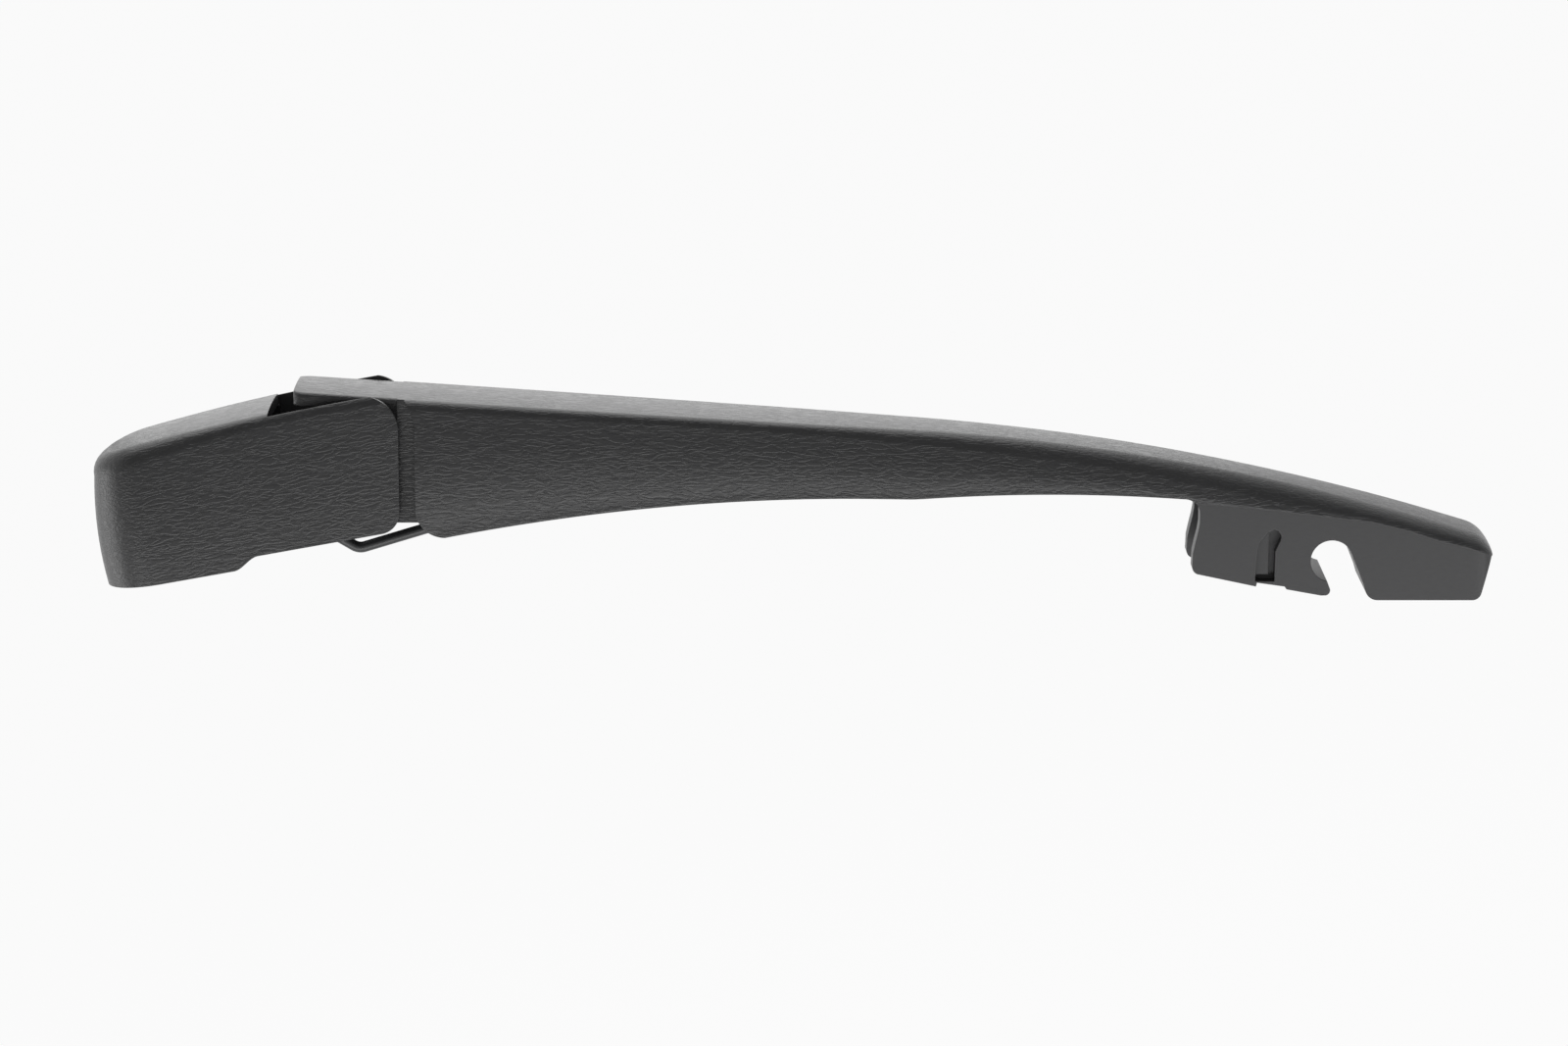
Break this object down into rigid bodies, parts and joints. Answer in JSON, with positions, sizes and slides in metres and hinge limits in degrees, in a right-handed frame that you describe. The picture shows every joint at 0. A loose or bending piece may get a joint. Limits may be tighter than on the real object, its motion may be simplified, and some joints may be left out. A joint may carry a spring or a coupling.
{
  "type": "rear wiper arm",
  "caption": "Rear-window wiper arm: grained plastic arm with a hooked blade holder, sprung to a die-cast mounting head under a hinged cover cap.",
  "frame": {"origin": "On the spindle's axis, at the face the spindle's nut sits on", "axes": "+Z along the spindle away from the glass, +X along the arm to the blade end, +Y across the arm"},
  "size_m": [0.2839, 0.0266, 0.0865],
  "materials": {
    "grained_plastic": "black glass-filled plastic with a fine leather grain",
    "cast_alloy": "die-cast, dull",
    "pin_steel": "turned and plated",
    "black_wire": "black phosphate-coated spring wire"
  },
  "bodies": {
    "head": {"head": "cast_alloy", "pivot_pin": "pin_steel", "link_pin": "pin_steel"},
    "cap": {"cap": "grained_plastic"},
    "arm": {"arm": "grained_plastic", "spring_pin": "pin_steel"},
    "hook_link": {"hook_link": "black_wire"},
    "spring": {"spring": "black_wire"}
  },
  "joints": [
    {"name": "arm_lift", "type": "hinge", "parent": "head", "child": "arm", "pos_m": [0.0455, 0, 0.0048], "axis": [0, -1, 0], "range_deg": [0, 50], "stiffness_Nm_per_rad": 0.8, "springref_deg": -57.3},
    {"name": "cap_open", "type": "hinge", "parent": "head", "child": "cap", "pos_m": [0.0455, 0, 0.0048], "axis": [0, 1, 0], "range_deg": [0, 44]},
    {"name": "link_swing", "type": "hinge", "parent": "head", "child": "hook_link", "pos_m": [0.0249, 0, -0.0078], "axis": [0, -1, 0], "range_deg": [0, 38]},
    {"name": "spring_stretch", "type": "slide", "parent": "hook_link", "child": "spring", "axis": [0.9984, 0, -0.0567], "range_m": [0, 0.006], "deforming": ["spring"]}
  ],
  "couplings": [
    {"joint": "link_swing", "follows": "arm_lift", "ratio": 0.7536},
    {"joint": "spring_stretch", "follows": "arm_lift", "m_per_rad": 0.006431}
  ]
}
